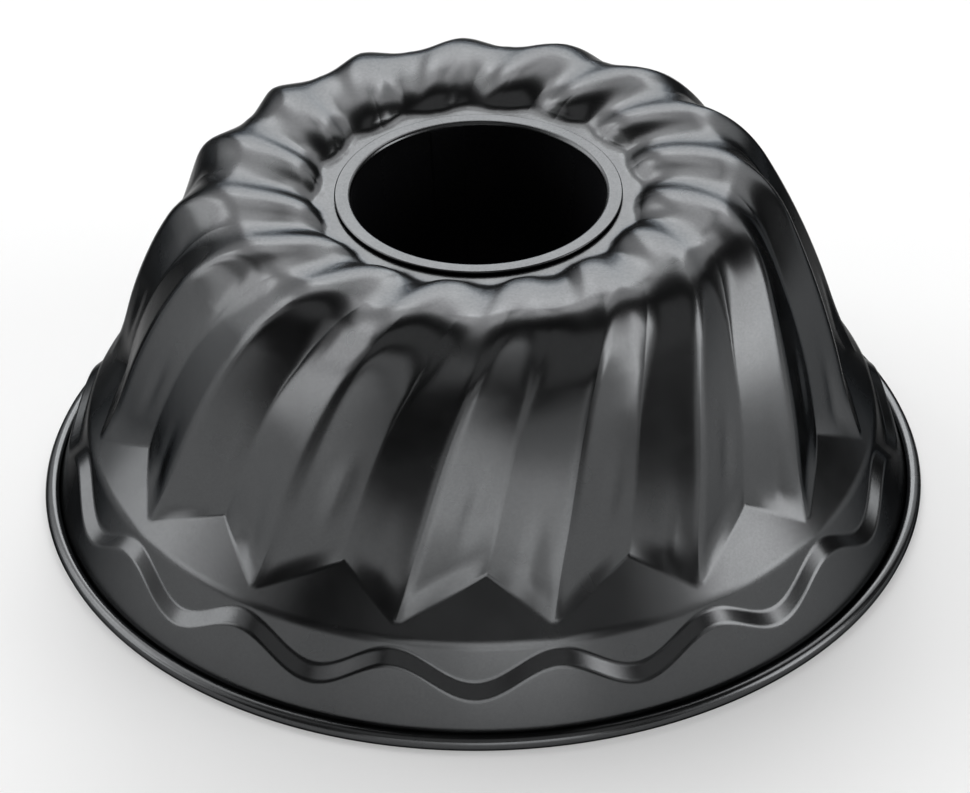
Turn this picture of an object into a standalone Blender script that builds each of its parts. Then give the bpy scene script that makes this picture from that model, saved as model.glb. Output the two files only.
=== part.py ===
"""Fluted tube pan: a deep-drawn, coated steel mould and the rolled centre tube held in its hole.

The pan stands mouth down on its rolled rim. Metres, +Z up, origin at the centre of the rest plane.
Azimuth is counted from the front (-Y), positive towards +X.
"""
import math

import bmesh
import bpy
import numpy as np

# Sheet, clearances
SHEET = 0.0006
TUBE_SHEET = 0.0006
CLEARANCE = 0.0003

# Rolled rim
RIM_RADIUS = 0.1200
BEAD_RADIUS = 0.0022
CURL_END = math.radians(496.0)
CURL_STEP = math.radians(34.8)

# Flared skirt with its wavy step
SKIRT_RADIUS = 0.1071
SKIRT_HEIGHT = 0.0254
STEP_WIDTH = 0.0025
STEP_DROP = 0.0033
WAVE_DROP = 0.0059
WAVE_SWING = 0.0040

# Foot cone above the skirt's top circle, where the flutes end in a zigzag of tips and peaks
FLUTES = 16
FIRST_TIP = math.radians(9.7)
FOOT_LEAN = math.radians(38.6)
TIP_RISE = 0.0037
PEAK_RISE = 0.0142
PEAK_SHIFT = math.radians(1.8)

# Ridge line: shoulder, crown and the flat land round the hole
PAN_HEIGHT = 0.1000
CROWN_RADIUS = 0.0630
SHOULDER_OUTSET = 0.0203
SHOULDER_DROP = 0.0146
WALL_BULGE = 0.0020
TIP_FLARE = 0.0023
LAND_DROP = 0.0066
LAND_WIDTH = 0.0042
LOBE_SLOPE = math.radians(43.0)

# Valley line, behind the ridge line
WALL_DEPTH = 0.0038
CROWN_DEPTH = 0.0015
NOTCH_DEPTH = 0.0018
NOTCH_SLOPE = math.radians(20.0)

# How round the flutes are across, as shares of half a flute: crisp on the wall, soft on the crown
CREST_PLACES = (0.0, 0.9, 1.4, 2.2, 3.0)
CRESTS = (0.03, 0.05, 0.10, 0.50, 1.00)
TROUGH_PLACES = (0.0, 0.7, 1.0, 1.3, 3.0)
TROUGHS = (0.01, 0.03, 0.20, 0.60, 1.00)

# How far the ridges have turned at the knee above the foot, the shoulder, the crown and the land
KNEE = 0.3
KNEE_SWIRL = math.radians(2.5)
SHOULDER_SWIRL = math.radians(10.4)
CROWN_SWIRL = math.radians(20.0)
LAND_SWIRL = math.radians(28.0)

# Centre tube
BORE_RADIUS = 0.0339
COLLAR_WIDTH = 0.0044
COLLAR_THICKNESS = 0.0009
COLLAR_ROUND = 0.0004
BORE_ROUND = 0.0008
SWAGE_WIDTH = 0.0012
SWAGE_HEIGHT = 0.0018
TUBE_END_RADIUS = 0.0265
TUBE_END_HEIGHT = 0.0030
HEM_HEIGHT = 0.0050
SEAM_WIDTH = 0.0070
SEAM_STEP = 0.0005
SEAM_ANGLE = math.radians(190.0)

# Mesh density: sections along the flutes (foot 0, shoulder 1, crown 2, land 3), columns in a flute
SECTIONS = (0.0, 0.2, 0.4, 0.6, 0.8, 1.0, 1.25, 1.5, 1.75, 2.0, 2.33, 2.67, 2.87, 3.0)
COLUMNS = (0.0, 0.2, 0.6, 1.0, 1.4, 1.8)
TUBE_SEGMENTS = 64

# Places that follow from the sizes above
PITCH = 2.0 * math.pi / FLUTES
LAND_HEIGHT = PAN_HEIGHT - LAND_DROP
COLLAR_RADIUS = BORE_RADIUS + COLLAR_WIDTH
COLLAR_UNDER = LAND_HEIGHT + CLEARANCE
COLLAR_TOP = COLLAR_UNDER + COLLAR_THICKNESS
NECK_RADIUS = BORE_RADIUS + TUBE_SHEET
HOLE_RADIUS = NECK_RADIUS + CLEARANCE
LOBE_END_RADIUS = COLLAR_RADIUS + LAND_WIDTH
NOTCH_RADIUS = LOBE_END_RADIUS + NOTCH_DEPTH
SHOULDER_RADIUS = CROWN_RADIUS + SHOULDER_OUTSET
SHOULDER_HEIGHT = PAN_HEIGHT - SHOULDER_DROP


def start_scene():
    """Remove what is in the file and make the two collections."""
    for obj in list(bpy.data.objects):
        bpy.data.objects.remove(obj, do_unlink=True)
    parts = bpy.data.collections.new("fluted_tube_pan")
    guides = bpy.data.collections.new("guides")
    bpy.context.scene.collection.children.link(parts)
    bpy.context.scene.collection.children.link(guides)
    return parts, guides


def coated_steel(name, colour, roughness):
    """Satin non-stick coating on steel sheet."""
    material = bpy.data.materials.new(name)
    material.use_nodes = True
    shader = material.node_tree.nodes["Principled BSDF"]
    shader.inputs["Base Color"].default_value = (*colour, 1.0)
    shader.inputs["Roughness"].default_value = roughness
    shader.inputs["Metallic"].default_value = 0.0
    return material


def smooth_through(stations, values, t):
    """Cubic through the given values, with slopes taken from the neighbouring stations."""
    stations, values = np.asarray(stations, float), np.asarray(values, float)
    slopes = np.gradient(values, stations)
    i = np.clip(np.searchsorted(stations, t, side="right") - 1, 0, len(stations) - 2)
    span = stations[i + 1] - stations[i]
    s = (t - stations[i]) / span
    start = (1 + 2 * s) * (1 - s) ** 2 * values[i] + s * (1 - s) ** 2 * span * slopes[i]
    end = s ** 2 * (3 - 2 * s) * values[i + 1] - s ** 2 * (1 - s) * span * slopes[i + 1]
    return start + end


def bezier(a, b, c, d, s):
    """Point of a cubic Bezier curve in the radius-height plane."""
    r = 1.0 - s
    return r ** 3 * a + 3 * r * r * s * b + 3 * r * s * s * c + s ** 3 * d


def on_foot_cone(height):
    """Radius of the foot cone at a height."""
    return SKIRT_RADIUS - math.tan(FOOT_LEAN) * (height - SKIRT_HEIGHT)


def flute_profile(foot, shoulder, crown, land, land_slope, t):
    """Radius and height along one ridge or valley line: bowed wall, round shoulder, inner slope."""
    chord = shoulder - foot
    bow = 4.0 * WALL_BULGE * np.array([chord[1], -chord[0]]) / np.linalg.norm(chord)
    if t <= 1.0:
        return foot + chord * t + bow * t * (1.0 - t)
    if t <= 2.0:
        rise, run = crown[1] - shoulder[1], shoulder[0] - crown[0]
        end = (chord - bow) / np.linalg.norm(chord - bow)
        return bezier(shoulder, shoulder + end * 0.60 * rise, crown + (0.50 * run, 0.0), crown, t - 1.0)
    run = crown[0] - land[0]
    approach = land + 0.35 * run * np.array([math.cos(land_slope), math.sin(land_slope)])
    return bezier(crown, crown - (0.465 * run, 0.0), approach, land, t - 2.0)


def ridge_turn(t):
    """Turn of a ridge since its tip."""
    swirls = (0, KNEE_SWIRL, SHOULDER_SWIRL, CROWN_SWIRL, LAND_SWIRL)
    return smooth_through((0, KNEE, 1, 2, 3), swirls, t)


def ridge_point(t):
    """Radius, height and turn of a ridge. Below the knee it flares out to the tip."""
    tip_height = SKIRT_HEIGHT + TIP_RISE
    foot = np.array([on_foot_cone(tip_height) - TIP_FLARE, tip_height])
    shoulder = np.array([SHOULDER_RADIUS, SHOULDER_HEIGHT])
    crown = np.array([CROWN_RADIUS, PAN_HEIGHT])
    land = np.array([LOBE_END_RADIUS, LAND_HEIGHT])
    radius, height = flute_profile(foot, shoulder, crown, land, LOBE_SLOPE, t)
    flare = TIP_FLARE * max(0.0, 1.0 - t / KNEE) ** 2
    return radius + flare, height, ridge_turn(t)


def valley_point(t):
    """Radius, height and turn of a valley, counted from the middle between two tips.

    The peak at its foot sits off the middle, and the valley comes back to it up to the shoulder.
    """
    peak_height = SKIRT_HEIGHT + PEAK_RISE
    foot = np.array([on_foot_cone(peak_height), peak_height])
    shoulder = np.array([SHOULDER_RADIUS - 0.9 * WALL_DEPTH, SHOULDER_HEIGHT - 0.4 * WALL_DEPTH])
    crown = np.array([CROWN_RADIUS, PAN_HEIGHT - CROWN_DEPTH])
    land = np.array([NOTCH_RADIUS, LAND_HEIGHT])
    turn = ridge_turn(t) + PEAK_SHIFT * max(0.0, 1.0 - t)
    return *flute_profile(foot, shoulder, crown, land, NOTCH_SLOPE, t), turn


def place(radius, azimuth, height):
    """Cartesian point from radius, azimuth and height."""
    return np.array([radius * math.sin(azimuth), -radius * math.cos(azimuth), height])


def lobe_fall(x, crest, trough):
    """How far the section has fallen from ridge (0) to valley (1), rounded at its crest and trough."""
    def bend(value, roundness):
        return (math.hypot(value, roundness) - roundness) / (math.hypot(1.0, roundness) - roundness)
    return 1.0 - bend(1.0 - bend(x, crest), trough)


def flute_section(t):
    """One closed ring across all flutes. At their foot it lies on the foot cone."""
    ridge_r, ridge_z, ridge_turn = ridge_point(t)
    valley_r, valley_z, valley_turn = valley_point(t)
    crest = float(np.interp(t, CREST_PLACES, CRESTS))
    trough = float(np.interp(t, TROUGH_PLACES, TROUGHS))
    ring = []
    for flute in range(FLUTES):
        tip = FIRST_TIP + flute * PITCH
        valley_azimuth = tip + 0.5 * PITCH + valley_turn
        for column in COLUMNS:
            from_ridge = column if column <= 1.0 else 2.0 - column
            ridge_azimuth = tip + ridge_turn + (0.0 if column <= 1.0 else PITCH)
            ridge = place(ridge_r, ridge_azimuth, ridge_z)
            valley = place(valley_r, valley_azimuth, valley_z)
            azimuth = ridge_azimuth + (valley_azimuth - ridge_azimuth) * from_ridge
            fullness = from_ridge - lobe_fall(from_ridge, crest, trough)
            swell = place(ridge_r - valley_r, azimuth, ridge_z - valley_z)
            point = ridge + (valley - ridge) * from_ridge + swell * fullness
            if t == 0.0:
                point[:2] *= on_foot_cone(point[2]) / np.hypot(point[0], point[1])
            ring.append(point)
    return ring


def round_section(radius, height):
    """One ring in step with the tips; radius and height are functions of the phase in a flute."""
    ring = []
    for flute in range(FLUTES):
        for column in COLUMNS:
            phase = column * math.pi
            azimuth = FIRST_TIP + (flute + 0.5 * column) * PITCH
            z = height(phase)
            ring.append(place(radius(z), azimuth, z))
    return ring


def rim_curl():
    """Centre of the bead, slope of the skirt that runs into it, and the curl's points.

    The skirt's outer face is the tangent to the inside of the curl. The bead has a flat on its
    underside, which is the face the pan rests on.
    """
    inside = BEAD_RADIUS - SHEET
    centre = np.array([RIM_RADIUS - BEAD_RADIUS, inside * math.cos(0.5 * CURL_STEP) + SHEET])
    top = np.array([SKIRT_RADIUS + STEP_WIDTH, SKIRT_HEIGHT])
    reach = centre - top
    heading = math.atan2(reach[1], reach[0]) - math.asin(inside / np.linalg.norm(reach))
    start = heading + 1.5 * math.pi
    bottom = 1.5 * math.pi
    angles = [start, *np.arange(bottom - 0.5 * CURL_STEP, CURL_END, CURL_STEP)]
    points = [centre + inside * np.array([math.cos(a), math.sin(a)]) for a in angles]
    return 1.0 / math.tan(-heading), points


def mould_sections():
    """All rings of the mould's outer face, from the hole's edge to the end of the rim's curl."""
    flare, curl = rim_curl()

    def wave(drop):
        return lambda phase: SKIRT_HEIGHT - WAVE_DROP - drop + WAVE_SWING * math.cos(phase)

    def skirt(offset):
        return lambda z: SKIRT_RADIUS + offset + (SKIRT_HEIGHT - z) * flare

    rings = [round_section(lambda z: HOLE_RADIUS, lambda phase: LAND_HEIGHT)]
    rings += [flute_section(t) for t in reversed(SECTIONS)]
    rings.append(round_section(skirt(0.0), lambda phase: SKIRT_HEIGHT))
    rings.append(round_section(skirt(0.0), wave(0.0)))
    rings.append(round_section(skirt(STEP_WIDTH), wave(STEP_DROP)))
    for radius, height in curl:
        rings.append(round_section(lambda z, r=radius: r, lambda phase, h=height: h))
    return rings


def loft(name, rings):
    """Open surface of quads between closed rings of equal count, facing outwards."""
    mesh = bpy.data.meshes.new(name)
    shell = bmesh.new()
    rows = [[shell.verts.new(point) for point in ring] for ring in rings]
    for inner, outer in zip(rows, rows[1:]):
        for j, vert in enumerate(inner):
            k = (j + 1) % len(inner)
            shell.faces.new((vert, outer[j], outer[k], inner[k]))
    shell.to_mesh(mesh)
    shell.free()
    mesh.shade_smooth()
    mesh.set_sharp_from_angle(angle=math.radians(25.0))
    return bpy.data.objects.new(name, mesh)


def make_mould(parts, material):
    """Deep-drawn sheet: land, swirled flutes, zigzag foot, stepped skirt and rolled rim."""
    mould = loft("fluted_mould", mould_sections())
    parts.objects.link(mould)
    mould.data.materials.append(material)
    sheet = mould.modifiers.new("sheet", "SOLIDIFY")
    sheet.thickness = SHEET
    sheet.offset = -1.0
    sheet.use_even_offset = True
    sheet.use_quality_normals = True
    return mould


def tube_profile():
    """Closed section of the tube's wall: down the outside, round the hem and up the bore."""
    end = TUBE_END_HEIGHT
    swage_top = LAND_HEIGHT - SHEET - CLEARANCE
    swage_middle = swage_top - 0.5 * SWAGE_HEIGHT
    swage_foot = swage_top - SWAGE_HEIGHT
    taper = (BORE_RADIUS - TUBE_END_RADIUS) / (swage_foot - end)
    hem_top = end + HEM_HEIGHT
    half = 0.5 * SWAGE_WIDTH
    corner = 0.5 * TUBE_SHEET
    outside = [
        (COLLAR_RADIUS - COLLAR_ROUND, COLLAR_TOP),
        (COLLAR_RADIUS, COLLAR_TOP - COLLAR_ROUND),
        (COLLAR_RADIUS, COLLAR_UNDER),
        (NECK_RADIUS, COLLAR_UNDER),
        (NECK_RADIUS, swage_top),
        (NECK_RADIUS + half, swage_top - 0.1 * SWAGE_HEIGHT),
        (NECK_RADIUS + SWAGE_WIDTH, swage_middle),
        (NECK_RADIUS + half, swage_foot + 0.1 * SWAGE_HEIGHT),
        (NECK_RADIUS, swage_foot),
        (TUBE_END_RADIUS + TUBE_SHEET, end + corner),
    ]
    hem = [
        (TUBE_END_RADIUS + corner, end),
        (TUBE_END_RADIUS - corner, end),
        (TUBE_END_RADIUS - TUBE_SHEET, end + corner),
        (TUBE_END_RADIUS - TUBE_SHEET + taper * HEM_HEIGHT, hem_top),
        (TUBE_END_RADIUS + taper * (HEM_HEIGHT + corner), hem_top + corner),
    ]
    bore = [
        (BORE_RADIUS, swage_foot),
        (BORE_RADIUS + half, swage_middle),
        (BORE_RADIUS, swage_top),
    ]
    for angle in np.radians((180.0, 150.0, 120.0, 90.0)):
        bore.append((BORE_RADIUS + BORE_ROUND * (1.0 + math.cos(angle)),
                     COLLAR_TOP - BORE_ROUND * (1.0 - math.sin(angle))))
    return outside + hem + bore, taper, swage_foot


def make_seam(guides, taper, top):
    """Strip of doubled sheet where the rolled tube laps over itself, seen inside the bore."""
    bpy.ops.mesh.primitive_cube_add(size=1.0)
    strip = bpy.context.object
    strip.name = "lap_seam_strip"
    for collection in list(strip.users_collection):
        collection.objects.unlink(strip)
    guides.objects.link(strip)
    low, high = TUBE_END_HEIGHT + 0.5 * HEM_HEIGHT, top - SWAGE_HEIGHT
    lean = math.atan(taper)
    thickness = SEAM_STEP + 0.5 * TUBE_SHEET
    middle = 0.5 * (low + high)
    wall = TUBE_END_RADIUS + taper * (middle - TUBE_END_HEIGHT)
    strip.scale = (SEAM_WIDTH, thickness, (high - low) / math.cos(lean))
    strip.location = place(wall - SEAM_STEP + 0.5 * thickness, SEAM_ANGLE, middle)
    strip.rotation_euler = (lean, 0.0, SEAM_ANGLE)
    strip.hide_render = True
    strip.display_type = "WIRE"
    return strip


def make_tube(parts, guides, material):
    """Rolled, tapered sheet tube: collar over the hole's edge, swaged bead below it, hemmed end."""
    outline, taper, swage_foot = tube_profile()
    mesh = bpy.data.meshes.new("centre_tube")
    edges = [(i, (i + 1) % len(outline)) for i in range(len(outline))]
    mesh.from_pydata([(radius, 0.0, height) for radius, height in outline], edges, [])
    tube = bpy.data.objects.new("centre_tube", mesh)
    parts.objects.link(tube)
    mesh.materials.append(material)
    turn = tube.modifiers.new("turn", "SCREW")
    turn.axis = "Z"
    turn.angle = 2.0 * math.pi
    turn.steps = TUBE_SEGMENTS
    turn.render_steps = TUBE_SEGMENTS
    turn.use_merge_vertices = True
    turn.merge_threshold = 0.00001
    turn.use_smooth_shade = True
    lap = tube.modifiers.new("lap_seam", "BOOLEAN")
    lap.operation = "UNION"
    lap.object = make_seam(guides, taper, swage_foot)
    return tube


def main():
    parts, guides = start_scene()
    coating = coated_steel("charcoal_non_stick", (0.026, 0.027, 0.029), 0.36)
    tube_coating = coated_steel("charcoal_non_stick_tube", (0.024, 0.025, 0.027), 0.40)
    make_mould(parts, coating)
    make_tube(parts, guides, tube_coating)


main()
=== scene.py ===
"""Looks of the fluted tube pan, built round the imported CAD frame.

Metres, +Z up. Azimuth is counted from the front (-Y), positive towards +X. A flute is
followed by t: 0 at its foot, 1 at the shoulder, 2 at the crown, 3 at the flat land.
"""

import logging
import math
from dataclasses import dataclass, field
from enum import Enum

import bpy
import numpy as np
from mathutils import Matrix, Vector


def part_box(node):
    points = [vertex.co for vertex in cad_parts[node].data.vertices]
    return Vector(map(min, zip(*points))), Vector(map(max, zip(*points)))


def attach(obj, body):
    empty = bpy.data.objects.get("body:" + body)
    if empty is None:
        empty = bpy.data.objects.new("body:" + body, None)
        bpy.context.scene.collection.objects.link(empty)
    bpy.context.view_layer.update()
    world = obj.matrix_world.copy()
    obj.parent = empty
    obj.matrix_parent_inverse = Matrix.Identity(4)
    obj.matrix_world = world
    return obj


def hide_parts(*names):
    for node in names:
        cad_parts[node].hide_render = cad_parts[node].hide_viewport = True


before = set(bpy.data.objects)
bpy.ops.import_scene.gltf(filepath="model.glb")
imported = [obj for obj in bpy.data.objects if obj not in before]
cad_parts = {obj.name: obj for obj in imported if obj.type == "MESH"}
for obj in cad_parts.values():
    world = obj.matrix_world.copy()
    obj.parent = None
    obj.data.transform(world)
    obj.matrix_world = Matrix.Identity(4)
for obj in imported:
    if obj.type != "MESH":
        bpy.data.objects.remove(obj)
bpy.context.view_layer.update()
LOG = logging.getLogger("fluted_tube_pan")
MM = 0.001


def linear(hex_colour: str) -> tuple[float, float, float, float]:
    """Linear colour of an sRGB hex value.

    Args:
        hex_colour: Six hex digits, such as "3a3c3f".

    Returns:
        Red, green, blue and a full alpha for a shader's socket.
    """
    srgb = np.array([int(hex_colour[i:i + 2], 16) for i in (0, 2, 4)]) / 255.0
    low, high = srgb / 12.92, ((srgb + 0.055) / 1.055) ** 2.4
    return (*np.where(srgb <= 0.04045, low, high).tolist(), 1.0)


def add_node(tree: bpy.types.NodeTree, kind: str, inputs: dict | None = None,
             **settings: object) -> bpy.types.Node:
    """Add one node to a tree, with its settings and what feeds it.

    Args:
        tree: The node tree.
        kind: Blender's type name of the node.
        inputs: Input name or number, to a value or to the output socket that feeds it.
        **settings: Attributes of the node.

    Returns:
        The node.
    """
    node = tree.nodes.new(kind)
    for name, value in settings.items():
        setattr(node, name, value)
    for name, value in (inputs or {}).items():
        if isinstance(value, bpy.types.NodeSocket):
            tree.links.new(value, node.inputs[name])
        else:
            node.inputs[name].default_value = value
    return node


def closed_surface(name: str, rows: np.ndarray) -> bpy.types.Object:
    """Object from a grid of points that closes on itself round the axis and round its section.

    Face (i, j) joins rows i and i+1 and columns j and j+1, in the order that faces outwards
    for rows that run from the hole down to the rim. A point's shading normal is the sum of
    its four faces' area vectors, half the cross product of their diagonals, so that flat
    panels stay flat up to the small rounds beside them.

    Args:
        name: Name of the object.
        rows: Points as rows x columns x 3.

    Returns:
        The object, linked to the scene and smooth-shaded.
    """
    count, columns = rows.shape[:2]
    i, j = np.arange(count)[:, None], np.arange(columns)[None, :]
    below, beside = (i + 1) % count, (j + 1) % columns
    quads = np.stack([i * columns + j, below * columns + j,
                      below * columns + beside, i * columns + beside], axis=-1).reshape(-1, 4)
    points = rows.reshape(-1, 3)
    a, b, c, d = (points[quads[:, k]] for k in range(4))
    area = (0.5 * np.cross(c - a, d - b)).reshape(count, columns, 3)
    area = area + np.roll(area, 1, axis=0)
    area = area + np.roll(area, 1, axis=1)
    normals = area / np.maximum(np.linalg.norm(area, axis=-1, keepdims=True), 1e-15)
    mesh = bpy.data.meshes.new(name)
    mesh.from_pydata(points.tolist(), [], quads.tolist())
    mesh.shade_smooth()
    mesh.normals_split_custom_set_from_vertices(normals.reshape(-1, 3).tolist())
    mesh.update()
    obj = bpy.data.objects.new(name, mesh)
    bpy.context.scene.collection.objects.link(obj)
    return obj


def grid_normals(rows: np.ndarray) -> np.ndarray:
    """Unit normals of a grid that closes on itself round the axis.

    Each is the cross product of the differences to the neighbours along the row and down the
    profile, so it points out of the faces that closed_surface makes.

    Args:
        rows: Points as rows x columns x 3.

    Returns:
        Normals in the same shape.
    """
    down = np.gradient(rows, axis=0)
    along = np.roll(rows, -1, axis=1) - np.roll(rows, 1, axis=1)
    normal = np.cross(down, along)
    return normal / np.maximum(np.linalg.norm(normal, axis=-1, keepdims=True), 1e-12)


def place(radius: np.ndarray, azimuth: np.ndarray, height: np.ndarray) -> np.ndarray:
    """Points (radius sin a, -radius cos a, height), broadcast over the arrays.

    Args:
        radius: Distance from the axis.
        azimuth: Angle from the front.
        height: Height over the rest plane.

    Returns:
        Array of points, with x, y and z last.
    """
    radius, azimuth, height = np.broadcast_arrays(radius, azimuth, height)
    return np.stack([radius * np.sin(azimuth), -radius * np.cos(azimuth), height], axis=-1)


def smooth_through(stations: tuple, values: tuple, t: np.ndarray) -> np.ndarray:
    """Cubic Hermite curve through values, its slopes from the neighbouring stations.

    Args:
        stations: Where the values stand.
        values: The values.
        t: Where to read the curve.

    Returns:
        The curve at t.
    """
    at, val = np.asarray(stations, float), np.asarray(values, float)
    slopes = np.gradient(val, at)
    i = np.clip(np.searchsorted(at, t, side="right") - 1, 0, len(at) - 2)
    span = at[i + 1] - at[i]
    s = (t - at[i]) / span
    start = (1 + 2 * s) * (1 - s) ** 2 * val[i] + s * (1 - s) ** 2 * span * slopes[i]
    end = s ** 2 * (3 - 2 * s) * val[i + 1] - s ** 2 * (1 - s) * span * slopes[i + 1]
    return start + end


def bezier(points: tuple, s: np.ndarray) -> np.ndarray:
    """Bezier curve of any degree by repeated cuts at the share s (de Casteljau).

    Args:
        points: Control points, each an array.
        s: Parameters from 0 to 1, shaped to broadcast with the points.

    Returns:
        The curve's points.
    """
    level = [np.asarray(p, float) for p in points]
    while len(level) > 1:
        level = [a + (b - a) * s for a, b in zip(level, level[1:])]
    return level[0]


def fillet(before: np.ndarray, corner: np.ndarray, after: np.ndarray,
           size: float, steps: int, limit: float = 0.45) -> np.ndarray:
    """Rows that round a crease: a quadratic Bezier with its ends a set distance from the crease.

    Args:
        before: Row of points on the surface ahead of the crease.
        corner: Row of points on the crease.
        after: Row of points on the surface past the crease.
        size: Distance of the round's ends from the crease.
        steps: Number of rows.
        limit: Largest share of the way to the rows beside the crease that the round may take.

    Returns:
        Rows from the first end to the second.
    """
    def towards(row: np.ndarray) -> np.ndarray:
        """Point at the set distance from the crease, on the way to the row."""
        reach = np.linalg.norm(row - corner, axis=-1, keepdims=True)
        return corner + (row - corner) * np.minimum(size / np.maximum(reach, 1e-9), limit)
    s = np.linspace(0.0, 1.0, steps)[:, None, None]
    return bezier((towards(before), corner, towards(after)), s)


@dataclass(frozen=True)
class FluteLine:
    """One line up a flute, in the radius-height plane: bowed wall, round shoulder, inner slope."""

    foot: tuple[float, float]
    shoulder: tuple[float, float]
    crown: tuple[float, float]
    land: tuple[float, float]
    land_slope: float
    land_reach: float
    level_run: float
    bulge: float
    shoulder_climb: float = 0.60
    shoulder_level: float = 0.50
    chords: int = 600

    def at(self, t: np.ndarray) -> np.ndarray:
        """Radius and height along the line.

        The wall is the chord plus a parabola of the given bulge. The shoulder and the inner
        slope are cubic Bezier curves: the first leaves the wall along its end tangent, with a
        handle of shoulder_climb times its rise, and reaches the crown level, with a handle of
        shoulder_level times its run. The second leaves the crown level, for longer the larger
        its level_run, and meets the land at land_slope, more abruptly the shorter land_reach.

        Args:
            t: Places along the flute.

        Returns:
            Array of (radius, height) pairs.
        """
        ends = (self.foot, self.shoulder, self.crown, self.land)
        foot, shoulder, crown, land = map(np.array, ends)
        chord = shoulder - foot
        bow = 4.0 * self.bulge * np.array([chord[1], -chord[0]]) / np.linalg.norm(chord)
        end = (chord - bow) / np.linalg.norm(chord - bow)
        rise, run, inner = crown[1] - shoulder[1], shoulder[0] - crown[0], crown[0] - land[0]
        s = t[:, None]
        wall = foot + chord * s + bow * s * (1.0 - s)
        bend = bezier((shoulder, shoulder + end * self.shoulder_climb * rise,
                       crown + (self.shoulder_level * run, 0.0), crown), s - 1.0)
        approach = land + self.land_reach * np.array([math.cos(self.land_slope),
                                                      math.sin(self.land_slope)])
        slope = bezier((crown, crown - (self.level_run * inner, 0.0), approach, land), s - 2.0)
        return np.where(s <= 1.0, wall, np.where(s <= 2.0, bend, slope))

    def length(self, t: np.ndarray) -> np.ndarray:
        """Length of the line from its foot up to t, as the sum of short chords."""
        fine = np.linspace(0.0, 3.0, self.chords + 1)
        steps = np.linalg.norm(np.diff(self.at(fine), axis=0), axis=1)
        return np.interp(t, fine, np.concatenate([[0.0], np.cumsum(steps)]))


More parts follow.
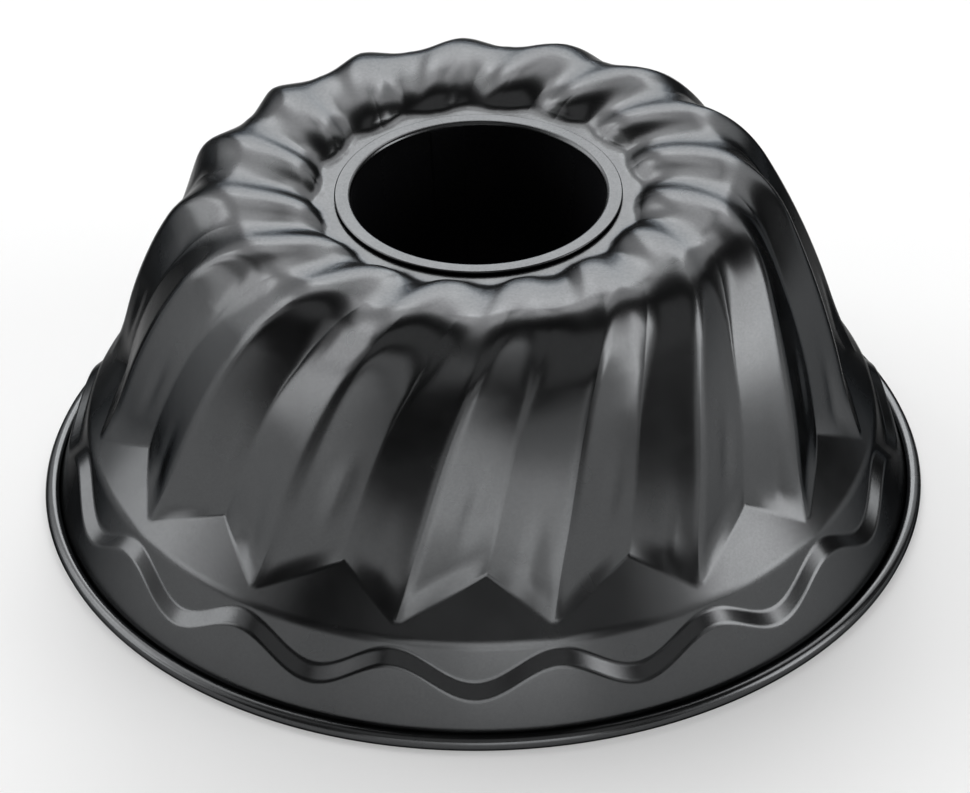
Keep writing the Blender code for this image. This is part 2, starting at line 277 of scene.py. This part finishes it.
@dataclass
class FlutedMould:
    """The deep-drawn sheet: land, sixteen swirled flutes, foot cone, stepped skirt, rolled rim.

    A place along a flute is a t, and a place across it is a share of the way from ridge to
    valley. A blend is a pair of tuples: places t, and the values there.
    """

    # From the frame.
    rim_radius: float
    height: float
    collar_radius: float
    # Sheet, hole and rolled rim, whose curl ends at an angle that counts a full turn.
    sheet: float = 0.6 * MM
    bore_radius: float = 34.8 * MM
    bead_radius: float = 2.2 * MM
    curl_end: float = math.radians(496.0)
    # Skirt and its wavy step.
    skirt_radius: float = 107.1 * MM
    skirt_height: float = 25.4 * MM
    step_width: float = 2.5 * MM
    step_drop: float = 3.3 * MM
    wave_drop: float = 5.9 * MM
    wave_swing: float = 4.0 * MM
    # Where the flutes stand, and how high their tips and peaks are over the skirt.
    flutes: int = 16
    first_tip: float = math.radians(9.7)
    foot_lean: float = math.radians(38.6)
    tip_rise: float = 3.7 * MM
    peak_rise: float = 14.2 * MM
    peak_shift: float = math.radians(1.8)
    # Shoulder and crown of the ridges, and the valleys' depths below them: at the shoulder
    # wall_depth, of which they go in by the share valley_inset and down by valley_sink.
    crown_radius: float = 63.0 * MM
    shoulder_outset: float = 20.3 * MM
    shoulder_drop: float = 14.6 * MM
    wall_bulge: float = 2.0 * MM
    tip_flare: float = 2.3 * MM
    wall_depth: float = 3.8 * MM
    valley_inset: float = 0.9
    valley_sink: float = 0.4
    crown_depth: float = 1.5 * MM
    # The land, and the inner ends of ridges (lobes) and valleys (notches) on it.
    land_drop: float = 6.6 * MM
    land_width: float = 4.2 * MM
    lobe_slope: float = math.radians(56.0)
    lobe_reach: float = 5.0 * MM
    lobe_run: float = 0.75
    notch_depth: float = 1.0 * MM
    notch_slope: float = math.radians(34.0)
    notch_reach: float = 3.6 * MM
    notch_run: float = 0.7
    # Section from ridge to valley: where the ridge's level top ends, as a share of where its
    # ramp ends, where that ramp ends, and how wide the ramp at the valley is.
    level_blend: tuple = ((0.8, 1.5), (0.5, 0.0))
    crest_blend: tuple = ((0.0, 0.2, 0.9, 1.4, 2.2), (0.08, 0.14, 0.14, 0.20, 0.50))
    trough_blend: tuple = ((0.0, 0.75, 0.95, 1.25, 1.7), (0.02, 0.03, 0.11, 0.32, 0.50))
    # Dents right and left of a ridge, each at a share across and a t.
    dent_depth: float = 0.45 * MM
    dent_places: tuple = ((0.62, 0.42), (0.42, 0.20))
    dent_width: float = 0.11
    dent_length: float = 0.15
    # Turn of the ridges in degrees, at foot, knee, shoulder, crown and land.
    knee: float = 0.3
    swirl: tuple = (0.0, 2.5, 10.4, 20.0, 28.0)
    # How softly the foot's forms fade up the flute, in t, and the flared strip beside a ridge.
    peak_fade: float = 0.15
    flare_fade: float = 0.12
    cone_fade: float = 0.12
    flare_strip: float = 0.5
    # Rounds of the creases.
    land_round: float = 2.6 * MM
    round_limit: float = 0.85
    foot_round: float = 0.9 * MM
    cone_round: float = 1.8 * MM
    step_round: float = 0.9 * MM
    # Rows and columns of the mesh. A run of rings is its first t, last t and count, and the
    # rows on land and skirt stand at shares of the way across.
    ring_runs: tuple = ((2.82, 2.05, 12), (1.97, 1.0, 16), (0.94, 0.28, 12))
    foot_rings: tuple = (0.22, 0.17, 0.13, 0.09, 0.05)
    land_middle: float = 0.3
    skirt_rings: tuple = (0.35, 0.65, 0.9)
    land_round_rows: int = 9
    foot_round_rows: int = 7
    step_round_rows: int = 6
    curl_rows: int = 21
    columns_per_half: int = 20
    column_crowding: float = 0.72
    inner_stride: int = 3

    def __post_init__(self) -> None:
        """Work out what follows from the sizes: the pitch, the land and the two flute lines."""
        self.pitch = 2.0 * math.pi / self.flutes
        self.land_height = self.height - self.land_drop
        self.lobe_end = self.collar_radius + self.land_width
        shoulder = (self.crown_radius + self.shoulder_outset, self.height - self.shoulder_drop)
        tip = self.skirt_height + self.tip_rise
        peak = self.skirt_height + self.peak_rise
        self.ridge = FluteLine(
            foot=(self.foot_cone(tip) - self.tip_flare, tip),
            shoulder=shoulder,
            crown=(self.crown_radius, self.height),
            land=(self.lobe_end, self.land_height),
            land_slope=self.lobe_slope,
            land_reach=self.lobe_reach,
            level_run=self.lobe_run,
            bulge=self.wall_bulge)
        self.valley = FluteLine(
            foot=(self.foot_cone(peak), peak),
            shoulder=(shoulder[0] - self.valley_inset * self.wall_depth,
                      shoulder[1] - self.valley_sink * self.wall_depth),
            crown=(self.crown_radius, self.height - self.crown_depth),
            land=(self.lobe_end + self.notch_depth, self.land_height),
            land_slope=self.notch_slope,
            land_reach=self.notch_reach,
            level_run=self.notch_run,
            bulge=self.wall_bulge)

    def foot_cone(self, height: np.ndarray) -> np.ndarray:
        """Radius of the cone that the flutes stand on, at a height."""
        return self.skirt_radius - math.tan(self.foot_lean) * (height - self.skirt_height)

    def columns(self) -> tuple[np.ndarray, np.ndarray]:
        """Columns of one turn, closer together at the ridges and valleys, where the surface turns.

        Returns:
            Share of the way from ridge to valley for each column, and its phase in flutes.
        """
        u = np.linspace(0.0, 1.0, self.columns_per_half, endpoint=False)
        half = u - self.column_crowding * np.sin(2.0 * math.pi * u) / (2.0 * math.pi)
        column = np.concatenate([half, 1.0 + half])
        share = np.where(column <= 1.0, column, 2.0 - column)
        phase = (np.arange(self.flutes)[:, None] + 0.5 * column[None, :]).ravel()
        return np.tile(share, self.flutes), phase

    def ring_azimuth(self) -> np.ndarray:
        """Azimuth of the columns where nothing is swirled: the tips are on whole phases."""
        return self.first_tip + self.columns()[1] * self.pitch

    def ridge_turn(self, t: np.ndarray) -> np.ndarray:
        """Turn of the ridges since their tips, smooth along the ridge's length.

        Args:
            t: Places along the flute.

        Returns:
            Angles through the values at foot, knee, shoulder, crown and land.
        """
        stations = self.ridge.length(np.array([0.0, self.knee, 1.0, 2.0, 3.0]))
        return smooth_through(stations, np.radians(self.swirl), self.ridge.length(t))

    def fall(self, t: np.ndarray, share: np.ndarray) -> np.ndarray:
        """How far a point has fallen from ridge to valley, from 0 to 1.

        Its slope is level on the ridge's flat top, climbs along a ramp to a steady slope, and
        comes back to level along a ramp at the valley. The fall is the slope's integral. The
        ramps are narrow on the wall and meet on the crown, where the flutes are round waves.

        Args:
            t: Places along the flute.
            share: Share of the way from ridge to valley.

        Returns:
            Array of len(t) x len(share).
        """
        crest = np.interp(t, *self.crest_blend)[:, None]
        level = np.interp(t, *self.level_blend)[:, None] * crest
        trough = np.interp(t, *self.trough_blend)[:, None]
        ramp = np.clip(share, level, crest) - level
        rise = ramp ** 2 / (2.0 * (crest - level)) + np.maximum(share - crest, 0.0)
        drop = np.maximum(share - 1.0 + trough, 0.0) ** 2 / (2.0 * trough)
        return (rise - drop) / (1.0 - 0.5 * (level + crest) - 0.5 * trough)

    def lobes(self, t: np.ndarray) -> np.ndarray:
        """Rings across all flutes.

        Between a ridge and a valley the point runs along their chord, moved outwards by how
        much less than the chord it has fallen. The peak at a valley's foot sits off the
        middle, and the valley comes back to it smoothly up to the shoulder. At the foot the
        ridge flares out to its tip, and just above it only a narrow strip beside the ridge
        does. A shallow dent, a bell curve across and up, lies on both sides of each ridge, the
        one on its right higher up.

        Args:
            t: Places along the flute.

        Returns:
            Points as len(t) x columns x 3.
        """
        share, phase = self.columns()
        ridge, valley = self.ridge.at(t), self.valley.at(t)
        turn = self.ridge_turn(t)
        back = 0.5 * (1.0 - t + np.hypot(1.0 - t, self.peak_fade))
        nearest = np.round(phase)
        middle = np.floor(phase) + 0.5
        ridge_azimuth = self.first_tip + nearest * self.pitch + turn[:, None]
        valley_turn = turn + self.peak_shift * back
        valley_azimuth = self.first_tip + middle * self.pitch + valley_turn[:, None]
        azimuth = ridge_azimuth + (valley_azimuth - ridge_azimuth) * share
        top = place(ridge[:, 0, None], ridge_azimuth, ridge[:, 1, None])
        bottom = place(valley[:, 0, None], valley_azimuth, valley[:, 1, None])
        fall = self.fall(t, share)
        swell = place((ridge - valley)[:, 0, None], azimuth, (ridge - valley)[:, 1, None])
        points = top + (bottom - top) * share[:, None] + swell * (share - fall)[..., None]
        right_of_ridge = phase > nearest
        (right, right_rise), (left, left_rise) = self.dent_places
        across = (share - np.where(right_of_ridge, right, left)) / self.dent_width
        dent_rise = np.where(right_of_ridge, right_rise, left_rise)
        along = (t[:, None] - dent_rise) / self.dent_length
        dent = self.dent_depth * np.exp(-across ** 2 - along ** 2)
        points = points - place(dent, azimuth, 0.0)
        flare = self.tip_flare * np.maximum(0.0, 1.0 - t / self.knee)[:, None] ** 2
        above = np.clip(t / self.flare_fade, 0.0, 1.0)[:, None]
        strip = np.maximum(0.0, 1.0 - share / self.flare_strip) ** 2
        spread = (1.0 - above) * (1.0 - share) + above * strip
        return points + place(flare * spread, azimuth, 0.0)

    def flute_rows(self, t: np.ndarray) -> np.ndarray:
        """Rings across all flutes, closed onto the foot cone.

        The ring at t = 0 is moved along its radius onto the cone, and the rings just above it
        by a share of the same distance that fades out.

        Args:
            t: Places along the flute.

        Returns:
            Points as len(t) x columns x 3.
        """
        foot = self.lobes(np.array([0.0]))[0]
        radius = np.hypot(foot[:, 0], foot[:, 1])
        outwards = np.stack([foot[:, 0] / radius, foot[:, 1] / radius, np.zeros_like(radius)], -1)
        closing = (self.foot_cone(foot[:, 2]) - radius)[:, None] * outwards
        fade = np.maximum(0.0, 1.0 - t / self.cone_fade)[:, None, None]
        return self.lobes(t) + closing * fade

    def land_rows(self, first_ring: np.ndarray) -> np.ndarray:
        """The flat land from the hole's edge to the rounded foot of the flutes' inner ends.

        The round reaches as far as its size on both sides of the corner, or up to round_limit
        of the way to the neighbouring rows.

        Args:
            first_ring: The flute ring a little above the land.

        Returns:
            Rows of points.
        """
        azimuth = self.ring_azimuth() + math.radians(self.swirl[-1])
        corner = self.flute_rows(np.array([3.0]))[0]
        edge = place(self.bore_radius, azimuth, self.land_height)
        middle = edge + (corner - edge) * self.land_middle
        rounded = fillet(middle, corner, first_ring, self.land_round, self.land_round_rows,
                         limit=self.round_limit)
        return np.concatenate([[edge], [middle], rounded])

    def rim_curl(self) -> tuple[float, np.ndarray, np.ndarray]:
        """The curl: its slope where the skirt meets it, and radii and heights of its rows.

        The skirt's outer face is tangent to the inside of the curl, a circle of the bead's
        radius less the sheet.
        """
        inside = self.bead_radius - self.sheet
        centre = np.array([self.rim_radius - self.bead_radius, self.bead_radius])
        reach = centre - (self.skirt_radius + self.step_width, self.skirt_height)
        heading = math.atan2(reach[1], reach[0]) - math.asin(inside / np.linalg.norm(reach))
        angles = np.linspace(heading + 1.5 * math.pi, self.curl_end, self.curl_rows)
        return (1.0 / math.tan(-heading), centre[0] + inside * np.cos(angles),
                centre[1] + inside * np.sin(angles))

    def rows(self) -> np.ndarray:
        """All rows of the outer face, from the hole's edge to the end of the rim's curl."""
        flare, curl_radius, curl_height = self.rim_curl()
        azimuth = self.ring_azimuth()
        wave = np.cos(2.0 * math.pi * self.columns()[1])

        def skirt(offset: float, height: np.ndarray) -> np.ndarray:
            """Ring on the flared skirt's cone, set out by an offset."""
            radius = self.skirt_radius + offset + (self.skirt_height - height) * flare
            return place(radius, azimuth, height)

        upper = self.skirt_height - self.wave_drop + self.wave_swing * wave
        lower = upper - self.step_drop
        runs = [np.linspace(*run) for run in self.ring_runs]
        flute = self.flute_rows(np.concatenate([*runs, self.foot_rings]))
        foot = self.flute_rows(np.array([0.0]))[0]
        circle = skirt(0.0, np.full_like(azimuth, self.skirt_height))
        edge, base = skirt(0.0, upper), skirt(self.step_width, lower)
        curl = place(curl_radius[:, None], azimuth[None, :], curl_height[:, None])
        return np.concatenate([
            self.land_rows(flute[0]),
            flute,
            fillet(flute[-1], foot, circle, self.foot_round, self.foot_round_rows),
            [foot + (circle - foot) * 0.5],
            fillet(foot, circle, edge, self.cone_round, self.step_round_rows),
            fillet(circle, edge, base, self.step_round, self.step_round_rows),
            fillet(edge, base, curl[0], self.step_round, self.step_round_rows),
            [base + (curl[0] - base) * share for share in self.skirt_rings],
            curl])

    def build(self, finish: bpy.types.Material) -> bpy.types.Object:
        """Make the mould as a closed sheet and put it on its body in place of the CAD node.

        The inner face is the outer one moved in by the sheet. It is hardly seen, so it keeps
        only one row in inner_stride.

        Args:
            finish: Material of the coated sheet.

        Returns:
            The piece.
        """
        outer = self.rows()
        inner = (outer - self.sheet * grid_normals(outer))[::-1]
        keep = np.unique(np.append(np.arange(0, len(inner), self.inner_stride), len(inner) - 1))
        mould = closed_surface("coated_mould", np.concatenate([outer, inner[keep]]))
        mould.data.materials.append(finish)
        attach(mould, "root")
        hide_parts("fluted_mould")
        return mould


@dataclass
class CentreTube:
    """The rolled tube: collar on the land, neck through the hole, swaged bead, taper, hem, seam.

    The hem's lip is a share of the sheet, and the rows of the taper stand at shares of its
    height.
    """

    collar_radius: float
    collar_top: float
    end_height: float
    land_height: float
    sheet: float = 0.6 * MM
    clearance: float = 0.3 * MM
    bore_radius: float = 33.9 * MM
    collar_thickness: float = 0.9 * MM
    collar_ease: float = 0.8 * MM
    neck_ease: float = 0.2 * MM
    bore_round: float = 1.2 * MM
    swage_width: float = 1.2 * MM
    swage_height: float = 1.8 * MM
    end_radius: float = 26.5 * MM
    hem_height: float = 5.0 * MM
    seam_width: float = 7.0 * MM
    seam_step: float = 0.25 * MM
    seam_edge: float = 0.25 * MM
    seam_azimuth: float = math.radians(194.0)
    hem_lip: float = 0.4
    outside_rows: tuple = (0.66, 0.33, 0.02)
    bore_rows: tuple = (0.2, 0.45, 0.7, 0.9, 1.0)
    swage_rows: int = 11
    fold_rows: int = 9
    bore_round_rows: int = 7
    segments: int = 288

    def profile(self) -> tuple[np.ndarray, np.ndarray]:
        """Closed section: down the outside, round the hem and up the bore.

        The swaged bead is one wave, 0.5 - 0.5 cos, on the neck below the sheet. The collar's
        edge, its upper edge at the bore and the hem are arcs, and the taper is straight.

        Returns:
            Radius-height pairs, and whether each is on the bore's wall.
        """
        end, neck = self.end_height, self.bore_radius + self.sheet
        top, under = self.collar_top, self.collar_top - self.collar_thickness
        swage_top = self.land_height - self.sheet - self.clearance
        swage_foot = swage_top - self.swage_height
        rise = swage_foot - end
        taper = (self.bore_radius - self.end_radius) / rise

        def arc(radius: float, height: float, size: float, start: float, stop: float,
                count: int) -> np.ndarray:
            """Points of an arc about a centre, by angles in degrees."""
            a = np.radians(np.linspace(start, stop, count))
            return np.stack([radius + size * np.cos(a), height + size * np.sin(a)], -1)

        def bead(base: float, heights: np.ndarray) -> np.ndarray:
            """The swaged bead standing out from a neck of the given radius."""
            wave = 0.5 - 0.5 * np.cos(2.0 * math.pi * (swage_top - heights) / self.swage_height)
            return np.stack([base + self.swage_width * wave, heights], -1)

        def tapered(base: float, shares: tuple) -> list[tuple[float, float]]:
            """Points on the taper, by shares of its height, from a radius at the free end."""
            return [(base + taper * rise * s, end + rise * s) for s in shares]

        half = 0.5 * self.collar_thickness
        down = np.linspace(swage_top, swage_foot, self.swage_rows)
        fold = 0.5 * self.sheet
        inner_end = self.end_radius - self.sheet
        outside = np.concatenate([
            [(self.bore_radius + self.bore_round + self.collar_ease, top)],
            arc(self.collar_radius - half, top - half, half, 90.0, -90.0, self.fold_rows),
            [(neck + self.neck_ease, under), (neck, under - self.neck_ease)],
            bead(neck, down),
            tapered(self.end_radius + self.sheet, self.outside_rows)])
        hem = np.concatenate([
            arc(self.end_radius, end + self.sheet, self.sheet, -10.0, -170.0, self.fold_rows),
            [(inner_end + taper * (self.hem_height - fold), end + self.hem_height - fold),
             (self.end_radius - self.hem_lip * self.sheet + taper * self.hem_height,
              end + self.hem_height),
             (self.end_radius + taper * (self.hem_height + fold), end + self.hem_height + fold)]])
        wall = tapered(self.end_radius, self.bore_rows)
        wall.append((self.bore_radius, swage_top))
        bore = np.concatenate([
            wall,
            arc(self.bore_radius + self.bore_round, top - self.bore_round, self.bore_round,
                180.0, 90.0, self.bore_round_rows)])
        start = len(outside) + len(hem)
        on_wall = np.zeros(start + len(bore), bool)
        on_wall[start:start + len(wall)] = True
        return np.concatenate([outside, hem, bore]), on_wall

    def build(self, finish: bpy.types.Material,
              bore_shade_finish: bpy.types.Material) -> bpy.types.Object:
        """Turn the section about the axis, with the lap seam as a step inwards of the bore.

        Args:
            finish: Material of the coated sheet.
            bore_shade_finish: Darker, duller copy of the coating for the bore's wall: painted shade
                deep in the tube.

        Returns:
            The piece.
        """
        profile, on_wall = self.profile()
        lap = 0.5 * self.seam_width / self.end_radius
        edge = self.seam_edge / self.end_radius
        even = np.linspace(0.0, 2.0 * math.pi, self.segments, endpoint=False)
        steps = self.seam_azimuth + np.array([-lap - edge, -lap, lap, lap + edge])
        azimuth = np.sort(np.concatenate([even, steps % (2.0 * math.pi)]))
        inside = np.interp(np.abs(azimuth - self.seam_azimuth), (lap, lap + edge), (1.0, 0.0))
        radius = profile[:, 0, None] - self.seam_step * on_wall[:, None] * inside[None, :]
        tube = closed_surface("rolled_tube", place(radius, azimuth[None, :], profile[:, 1, None]))
        tube.data.materials.append(finish)
        tube.data.materials.append(bore_shade_finish)
        # The bore's wall takes the darker copy of the coating: painted shade.
        slots = np.repeat(on_wall.astype(np.int32), len(azimuth))
        tube.data.polygons.foreach_set("material_index", slots)
        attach(tube, "root")
        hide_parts("centre_tube")
        return tube


@dataclass(frozen=True)
class SteelCoating:
    """Non-stick coating: a dark resin with fine metal flakes, sprayed on sheet steel and baked.

    The flakes lie flat under a thin clear skin, so it mirrors like a dark satin metal. The
    spray leaves a shallow orange peel, the baking a slow drift in gloss, and the flakes a faint
    speckle. Real flakes are 0.05 mm across, too fine to show, and are drawn coarser.
    """

    name: str
    colour: str
    flake_colour: str
    metallic: float
    roughness: float
    edge: str
    gloss_drift: float = 0.03
    drift_size: float = 14.0 * MM
    peel_size: float = 1.4 * MM
    peel_height: float = 0.0025 * MM
    flake_size: float = 0.45 * MM
    noise_low: float = 0.3
    noise_high: float = 0.7

    def material(self) -> bpy.types.Material:
        """Node material of the coating, on Object coordinates, which are metres."""
        material = bpy.data.materials.new(self.name)
        material.use_nodes = True
        tree = material.node_tree
        shader = tree.nodes["Principled BSDF"]
        shader.inputs["Metallic"].default_value = self.metallic
        shader.inputs["Specular Tint"].default_value = linear(self.edge)
        place_on = add_node(tree, "ShaderNodeTexCoord").outputs["Object"]
        flakes = add_node(tree, "ShaderNodeTexVoronoi",
                          {"Vector": place_on, "Scale": 1.0 / self.flake_size})
        lightness = add_node(tree, "ShaderNodeSeparateColor", {0: flakes.outputs["Color"]})
        ground = add_node(tree, "ShaderNodeMix",
                          {"Factor": lightness.outputs[0], "A": linear(self.colour),
                           "B": linear(self.flake_colour)}, data_type="RGBA")
        drift = add_node(tree, "ShaderNodeTexNoise",
                         {"Vector": place_on, "Scale": 1.0 / self.drift_size, "Detail": 2.0})
        gloss = add_node(tree, "ShaderNodeMapRange",
                         {"Value": drift.outputs[0],
                          "From Min": self.noise_low, "From Max": self.noise_high,
                          "To Min": self.roughness - self.gloss_drift,
                          "To Max": self.roughness + self.gloss_drift})
        peel = add_node(tree, "ShaderNodeTexNoise",
                        {"Vector": place_on, "Scale": 1.0 / self.peel_size, "Detail": 1.0})
        bump = add_node(tree, "ShaderNodeBump",
                        {"Strength": 1.0, "Distance": self.peel_height, "Height": peel.outputs[0]})
        tree.links.new(ground.outputs["Result"], shader.inputs["Base Color"])
        tree.links.new(gloss.outputs[0], shader.inputs["Roughness"])
        tree.links.new(bump.outputs[0], shader.inputs["Normal"])
        return material


class Ray(Enum):
    """Kinds of ray that see the floor partly as plain white, by their socket's name."""

    CAMERA = "Is Camera Ray"
    GLOSSY = "Is Glossy Ray"
    TRANSMISSION = "Is Transmission Ray"


@dataclass(frozen=True)
class Softbox:
    """A flat lamp that looks at the object, placed and sized by the angles it fills, in degrees."""

    name: str
    azimuth: float
    elevation: float
    across: float
    tall: float
    radiance: float
    distance: float = 3.0

    def build(self, target: np.ndarray) -> bpy.types.Object:
        """Make the lamp. A side is 2 d tan(angle/2); power is radiance x area x pi.

        Args:
            target: The point that it looks at.

        Returns:
            The lamp.
        """
        lamp = bpy.data.lights.new(self.name, "AREA")
        lamp.shape = "RECTANGLE"
        lamp.size = 2.0 * self.distance * math.tan(0.5 * math.radians(self.across))
        lamp.size_y = 2.0 * self.distance * math.tan(0.5 * math.radians(self.tall))
        lamp.energy = self.radiance * lamp.size * lamp.size_y * math.pi
        obj = bpy.data.objects.new(self.name, lamp)
        bpy.context.scene.collection.objects.link(obj)
        a, e = math.radians(self.azimuth), math.radians(self.elevation)
        away = np.array([math.sin(a) * math.cos(e), -math.cos(a) * math.cos(e), math.sin(e)])
        obj.location = target + away * self.distance
        obj.rotation_euler = Vector(away).to_track_quat("Z", "Y").to_euler()
        obj.visible_camera = False
        return obj


@dataclass
class Studio:
    """Pale floor, soft light and the camera at the photograph's angle.

    The lamps stand where the photograph's highlights ask for them: broad ones behind and at
    both sides, dim ones in front. The two floor cards are near, because the front facets lean
    back and mirror what stands low before them. The floor's glow is the share of plain white
    in what is seen or mirrored of it.
    """

    camera_back: float = 1.2358
    camera_height: float = 0.9035
    pitch: float = math.radians(35.32)
    yaw: float = math.radians(0.041)
    roll: float = math.radians(-0.927)
    focal_pixels: float = 5568.0
    image_width: float = 970.0
    sensor_width: float = 36.0
    aim_height: float = 0.05
    floor_reach: float = 12.0
    floor_colour: str = "e2e2e2"
    floor_roughness: float = 0.9
    floor_glow: float = 0.3
    ambient: float = 0.02
    boxes: tuple = field(default_factory=lambda: (
        Softbox("left_low_box", -106.0, 12.0, 44.0, 18.0, 3.3),
        Softbox("left_high_box", -112.0, 34.0, 36.0, 26.0, 3.2),
        Softbox("left_front_box", -78.0, 38.0, 32.0, 28.0, 0.6),
        Softbox("left_strip", -78.0, 14.0, 14.0, 20.0, 2.2),
        Softbox("back_left_low_box", -146.0, 20.0, 32.0, 30.0, 1.7),
        Softbox("back_left_high_box", -146.0, 50.0, 44.0, 30.0, 1.8),
        Softbox("back_low_box", 176.0, 14.0, 34.0, 16.0, 11.0),
        Softbox("back_high_box", 176.0, 32.0, 34.0, 20.0, 6.2),
        Softbox("back_top_box", 176.0, 54.0, 38.0, 24.0, 1.1),
        Softbox("back_right_box", 144.0, 34.0, 28.0, 50.0, 1.8),
        Softbox("right_low_box", 80.0, 9.0, 24.0, 14.0, 4.8),
        Softbox("right_high_box", 80.0, 26.0, 28.0, 20.0, 4.2),
        Softbox("right_front_box", 56.0, 20.0, 20.0, 36.0, 0.6),
        Softbox("front_floor_card", 8.0, 2.0, 26.0, 20.0, 2.0, 0.34),
        Softbox("front_left_floor_card", -15.0, 2.0, 20.0, 20.0, 0.8, 0.34),
        Softbox("front_top_card", 2.0, 58.0, 60.0, 40.0, 0.3),
        Softbox("front_high_card", 2.0, 20.0, 44.0, 12.0, 0.8),
    ))

    def build(self) -> None:
        """Make the floor, the lamps, the world and the camera."""
        self.floor()
        for box in self.boxes:
            box.build(np.array([0.0, 0.0, self.aim_height]))
        world = bpy.data.worlds.new("studio")
        world.use_nodes = True
        background = world.node_tree.nodes["Background"]
        background.inputs["Color"].default_value = linear("ffffff")
        background.inputs["Strength"].default_value = self.ambient
        bpy.context.scene.world = world
        self.camera()

    def floor(self) -> bpy.types.Object:
        """Pale paper floor: seen or mirrored, it is part paper with its shadow, part plain white."""
        reach = self.floor_reach
        corners = [(-reach, -reach, 0), (reach, -reach, 0), (reach, reach, 0), (-reach, reach, 0)]
        mesh = bpy.data.meshes.new("floor")
        mesh.from_pydata(corners, [], [(0, 1, 2, 3)])
        floor = bpy.data.objects.new("floor", mesh)
        bpy.context.scene.collection.objects.link(floor)
        paper = bpy.data.materials.new("white_paper_sweep")
        paper.use_nodes = True
        tree = paper.node_tree
        matt = tree.nodes["Principled BSDF"]
        matt.inputs["Base Color"].default_value = linear(self.floor_colour)
        matt.inputs["Roughness"].default_value = self.floor_roughness
        white = add_node(tree, "ShaderNodeEmission", {"Color": linear("ffffff"), "Strength": 1.0})
        ray = add_node(tree, "ShaderNodeLightPath")
        mirrored = add_node(tree, "ShaderNodeMath",
                            {0: ray.outputs[Ray.GLOSSY.value],
                             1: ray.outputs[Ray.TRANSMISSION.value]}, operation="MAXIMUM")
        seen = add_node(tree, "ShaderNodeMath",
                        {0: ray.outputs[Ray.CAMERA.value], 1: mirrored.outputs[0]},
                        operation="MAXIMUM")
        share = add_node(tree, "ShaderNodeMath", {0: seen.outputs[0], 1: self.floor_glow},
                         operation="MULTIPLY")
        mix = add_node(tree, "ShaderNodeMixShader", {0: share.outputs[0], 1: matt.outputs[0],
                                                     2: white.outputs[0]})
        tree.links.new(mix.outputs[0], tree.nodes["Material Output"].inputs["Surface"])
        floor.data.materials.append(paper)
        return floor

    def camera(self) -> None:
        """Camera from its height, distance back and three angles, fitted to the photograph."""
        cp, sp, cy, sy = (math.cos(self.pitch), math.sin(self.pitch),
                          math.cos(self.yaw), math.sin(self.yaw))
        forward = Vector((sy * cp, cy * cp, -sp))
        right = forward.cross(Vector((0, 0, 1))).normalized()
        up = right.cross(forward)
        cr, sr = math.cos(self.roll), math.sin(self.roll)
        turned_right, turned_up = right * cr + up * sr, up * cr - right * sr
        data = bpy.data.cameras.new("camera")
        data.sensor_width = self.sensor_width
        data.lens = self.focal_pixels / self.image_width * data.sensor_width
        obj = bpy.data.objects.new("camera", data)
        axes = Matrix((turned_right, turned_up, -forward)).transposed().to_4x4()
        obj.matrix_world = Matrix.Translation((0.0, -self.camera_back, self.camera_height)) @ axes
        bpy.context.scene.collection.objects.link(obj)
        bpy.context.scene.camera = obj


def main() -> None:
    """Build the pieces in order, dress them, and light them."""
    logging.basicConfig(level=logging.INFO, format="%(message)s")
    mould_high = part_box("fluted_mould")[1]
    tube_low, tube_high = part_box("centre_tube")
    # Mirrors like a dark satin metal, with broad soft highlights.
    coating = SteelCoating(
        "non_stick_coating_on_drawn_steel", colour="4f5051", flake_colour="535455",
        metallic=1.0, roughness=0.25, edge="808080").material()
    # Darker, duller copy of the coating: painted shade, so that the bore reads as almost black.
    painted_bore_shade = SteelCoating(
        "coating_darkened_as_painted_bore_shade", colour="141416", flake_colour="1a1a1c",
        metallic=0.6, roughness=0.5, edge="404040").material()
    mould = FlutedMould(rim_radius=mould_high.x, height=mould_high.z, collar_radius=tube_high.x)
    tube = CentreTube(collar_radius=tube_high.x, collar_top=tube_high.z, end_height=tube_low.z,
                      land_height=mould.land_height)
    for piece in (mould.build(coating), tube.build(coating, painted_bore_shade)):
        LOG.info("%s: %d faces", piece.name, len(piece.data.polygons))
    Studio().build()
    bpy.context.scene.view_settings.view_transform = "Standard"


if __name__ == "__main__":
    main()
